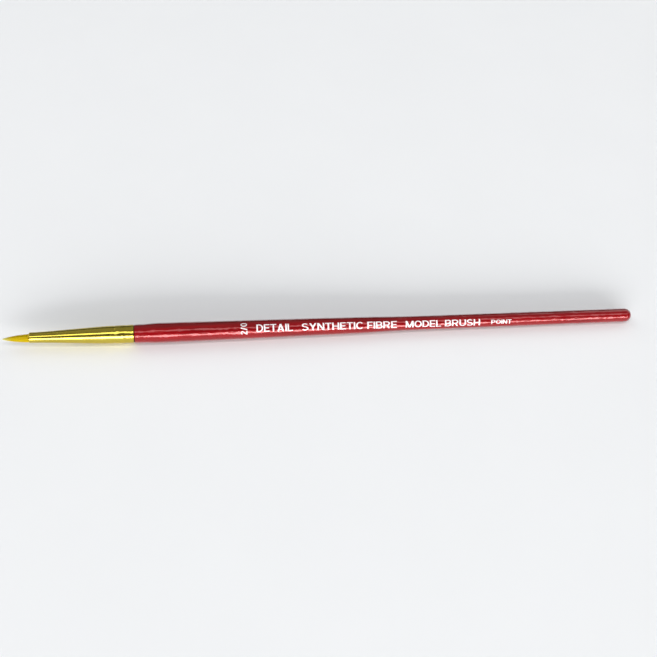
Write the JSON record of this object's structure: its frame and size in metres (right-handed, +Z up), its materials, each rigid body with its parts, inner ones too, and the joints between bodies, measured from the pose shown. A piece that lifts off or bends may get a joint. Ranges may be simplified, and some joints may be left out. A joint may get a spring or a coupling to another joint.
{
  "type": "fine detail brush",
  "caption": "Slim round detail brush: pointed filament tuft in a coned gold ferrule on a tapered, red-lacquered wooden handle with a swollen belly.",
  "frame": {"origin": "under the middle of the brush, on the surface it lies on", "axes": "+X along the brush from the tip of the tuft to the end of the handle, +Z up, +Y to the side"},
  "size_m": [0.175, 0.0054, 0.0054],
  "materials": {
    "bare_wood": "sanded bare hardwood",
    "red_lacquer": "dipped gloss lacquer, deep red, with white printing",
    "gold_metal": "polished, gold coloured, with fine draw lines and handling dents",
    "wood_glue": "set glue",
    "set_resin": "set amber resin",
    "tying_thread": "undyed thread",
    "filament": "tapered synthetic filament, golden",
    "printing_ink": "thin white printing ink"
  },
  "bodies": {
    "brush": {"handle_core": "bare_wood", "handle_lacquer": "red_lacquer", "ferrule": "gold_metal", "tenon_glue": "wood_glue", "epoxy_plug": "set_resin", "binding_thread": "tying_thread", "tuft_root": "filament"},
    "tuft_heel": {"tuft_heel": "filament"},
    "tuft_point": {"tuft_point": "filament"}
  },
  "joints": [
    {"name": "tuft_sway", "type": "hinge", "parent": "brush", "child": "tuft_heel", "pos_m": [-0.08114, 0, 0.00271], "axis": [0, 0, 1], "range_deg": [-25, 25], "stiffness_Nm_per_rad": 0.0005},
    {"name": "tuft_bend", "type": "hinge", "parent": "tuft_heel", "child": "tuft_point", "pos_m": [-0.08314, 0, 0.00271], "axis": [0, 1, 0], "range_deg": [-35, 35], "stiffness_Nm_per_rad": 0.0005}
  ]
}
